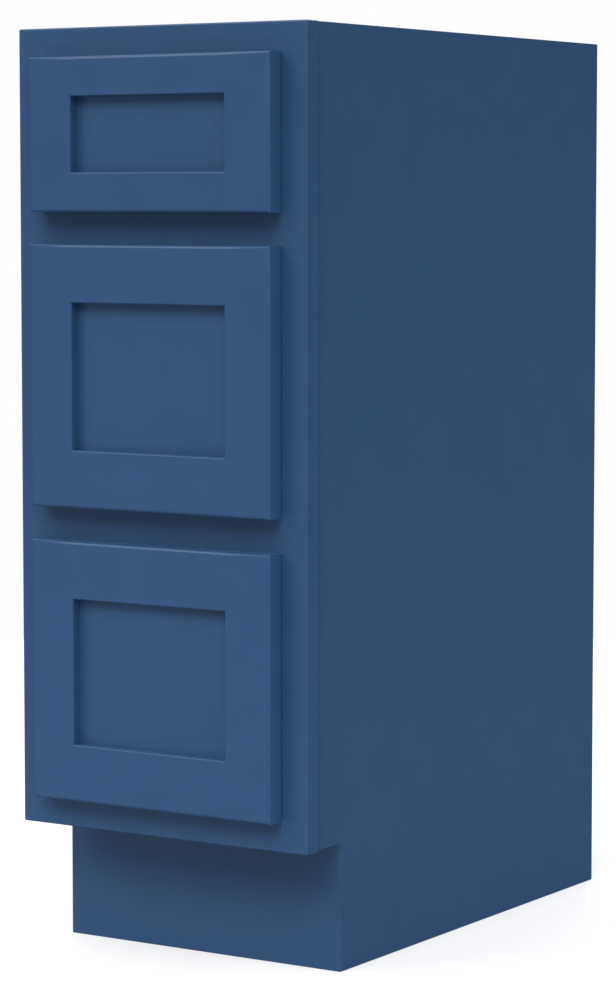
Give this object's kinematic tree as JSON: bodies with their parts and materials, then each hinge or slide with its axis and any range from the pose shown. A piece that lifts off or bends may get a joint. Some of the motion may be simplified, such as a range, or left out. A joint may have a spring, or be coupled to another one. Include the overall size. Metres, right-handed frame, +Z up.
{
  "type": "vanity drawer base cabinet",
  "caption": "Narrow painted bathroom vanity base with a face frame, recessed-panel drawers on full-extension slides and a set-back toe kick.",
  "frame": {"origin": "centre of the bounding box on the floor, drawers closed", "axes": "+Z up; +Y towards the wall behind; the drawers open towards -Y; +X to the right of someone facing the drawers"},
  "size_m": [0.3048, 0.5534, 0.8255],
  "materials": {
    "blue_paint": "satin blue sprayed paint on hardwood and fibreboard, fine orange peel",
    "carcass_maple": "clear-coated maple plywood, satin",
    "drawer_birch": "clear-coated solid birch, dovetailed, satin",
    "slide_zinc": "bright zinc plated rolled steel",
    "screw_zinc": "zinc plated steel",
    "brace_nylon": "moulded nylon, light texture",
    "bumper_rubber": "clear soft polyurethane dots"
  },
  "bodies": {
    "carcass": {"left_side_panel": "blue_paint", "right_side_panel": "blue_paint", "bottom_panel": "carcass_maple", "back_panel": "carcass_maple", "top_hanging_rail": "carcass_maple", "bottom_hanging_rail": "carcass_maple", "toe_kick_board": "carcass_maple", "toe_kick_skin": "blue_paint", "face_left_stile": "blue_paint", "face_right_stile": "blue_paint", "face_top_rail": "blue_paint", "face_upper_mid_rail": "blue_paint", "face_lower_mid_rail": "blue_paint", "face_bottom_rail": "blue_paint", "corner_braces": "brace_nylon", "slide_cleats": "carcass_maple", "cabinet_slide_members": "slide_zinc", "carcass_screws": "screw_zinc"},
    "top_drawer": {"top_front_left_stile": "blue_paint", "top_front_right_stile": "blue_paint", "top_front_top_rail": "blue_paint", "top_front_bottom_rail": "blue_paint", "top_front_panel": "blue_paint", "top_box_left_side": "drawer_birch", "top_box_right_side": "drawer_birch", "top_box_front": "drawer_birch", "top_box_back": "drawer_birch", "top_box_bottom": "drawer_birch", "top_slide_drawer_members": "slide_zinc", "top_front_bumpers": "bumper_rubber", "top_drawer_screws": "screw_zinc"},
    "top_slide_middles": {"top_slide_middle_members": "slide_zinc"},
    "middle_drawer": {"middle_front_left_stile": "blue_paint", "middle_front_right_stile": "blue_paint", "middle_front_top_rail": "blue_paint", "middle_front_bottom_rail": "blue_paint", "middle_front_panel": "blue_paint", "middle_box_left_side": "drawer_birch", "middle_box_right_side": "drawer_birch", "middle_box_front": "drawer_birch", "middle_box_back": "drawer_birch", "middle_box_bottom": "drawer_birch", "middle_slide_drawer_members": "slide_zinc", "middle_front_bumpers": "bumper_rubber", "middle_drawer_screws": "screw_zinc"},
    "middle_slide_middles": {"middle_slide_middle_members": "slide_zinc"},
    "bottom_drawer": {"bottom_front_left_stile": "blue_paint", "bottom_front_right_stile": "blue_paint", "bottom_front_top_rail": "blue_paint", "bottom_front_bottom_rail": "blue_paint", "bottom_front_panel": "blue_paint", "bottom_box_left_side": "drawer_birch", "bottom_box_right_side": "drawer_birch", "bottom_box_front": "drawer_birch", "bottom_box_back": "drawer_birch", "bottom_box_bottom": "drawer_birch", "bottom_slide_drawer_members": "slide_zinc", "bottom_front_bumpers": "bumper_rubber", "bottom_drawer_screws": "screw_zinc"},
    "bottom_slide_middles": {"bottom_slide_middle_members": "slide_zinc"}
  },
  "joints": [
    {"name": "top_drawer_slide", "type": "slide", "parent": "carcass", "child": "top_drawer", "axis": [0, -1, 0], "range_m": [0, 0.45]},
    {"name": "top_middle_member_slide", "type": "slide", "parent": "carcass", "child": "top_slide_middles", "axis": [0, -1, 0], "range_m": [0, 0.225]},
    {"name": "middle_drawer_slide", "type": "slide", "parent": "carcass", "child": "middle_drawer", "axis": [0, -1, 0], "range_m": [0, 0.45]},
    {"name": "middle_middle_member_slide", "type": "slide", "parent": "carcass", "child": "middle_slide_middles", "axis": [0, -1, 0], "range_m": [0, 0.225]},
    {"name": "bottom_drawer_slide", "type": "slide", "parent": "carcass", "child": "bottom_drawer", "axis": [0, -1, 0], "range_m": [0, 0.45]},
    {"name": "bottom_middle_member_slide", "type": "slide", "parent": "carcass", "child": "bottom_slide_middles", "axis": [0, -1, 0], "range_m": [0, 0.225]}
  ],
  "couplings": [
    {"joint": "top_middle_member_slide", "follows": "top_drawer_slide", "ratio": 0.5},
    {"joint": "middle_middle_member_slide", "follows": "middle_drawer_slide", "ratio": 0.5},
    {"joint": "bottom_middle_member_slide", "follows": "bottom_drawer_slide", "ratio": 0.5}
  ]
}
